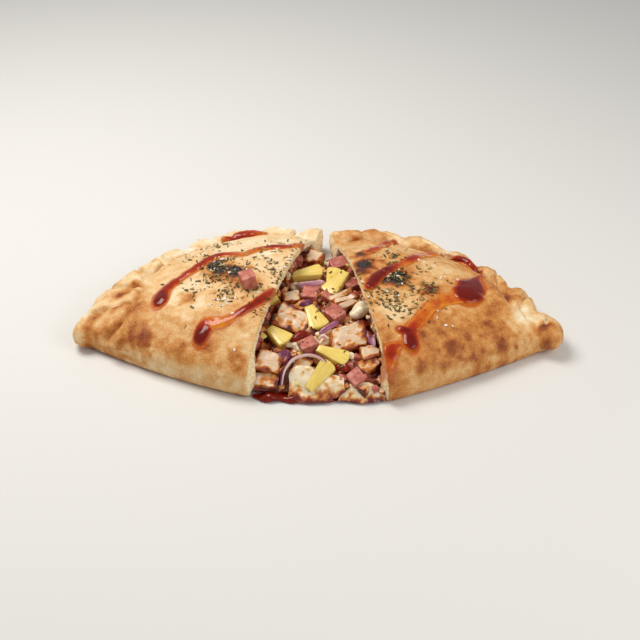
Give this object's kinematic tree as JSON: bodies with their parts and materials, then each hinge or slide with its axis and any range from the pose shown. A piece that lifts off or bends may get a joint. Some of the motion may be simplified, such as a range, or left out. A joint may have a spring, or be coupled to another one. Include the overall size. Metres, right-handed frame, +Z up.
{
  "type": "calzone",
  "caption": "Baked calzone cut across its middle, crimped round the back, with chicken, ham and pineapple filling heaped between its halves.",
  "frame": {"origin": "on the surface it lies on, under the middle of the whole food's bounding box", "axes": "+X from the left-hand tip to the right-hand tip, +Y from the folded front edge to the crimped rim, +Z up"},
  "size_m": [0.2741, 0.1566, 0.0437],
  "materials": {
    "baked_dough": "baked pizza dough, golden with browned blisters, dull with a faint oily sheen",
    "filling": "barbecue-sauced filling, dark red-brown and wet",
    "ham": "cooked ham, pink, moist cut faces",
    "chicken": "roast chicken breast, pale fibrous meat with browned edges",
    "pineapple": "pineapple, translucent yellow, wet",
    "red_onion": "red onion, white flesh with a purple skin side",
    "cheese": "melted mozzarella, cream coloured, soft gloss",
    "barbecue_sauce": "barbecue sauce, dark red-brown, glossy",
    "dried_herbs": "dried oregano, dark olive",
    "salt": "coarse salt flakes, white"
  },
  "bodies": {
    "root": {"crust_left": "baked_dough", "crust_right": "baked_dough", "filling": "filling", "ham_dice": "ham"}
  },
  "joints": []
}
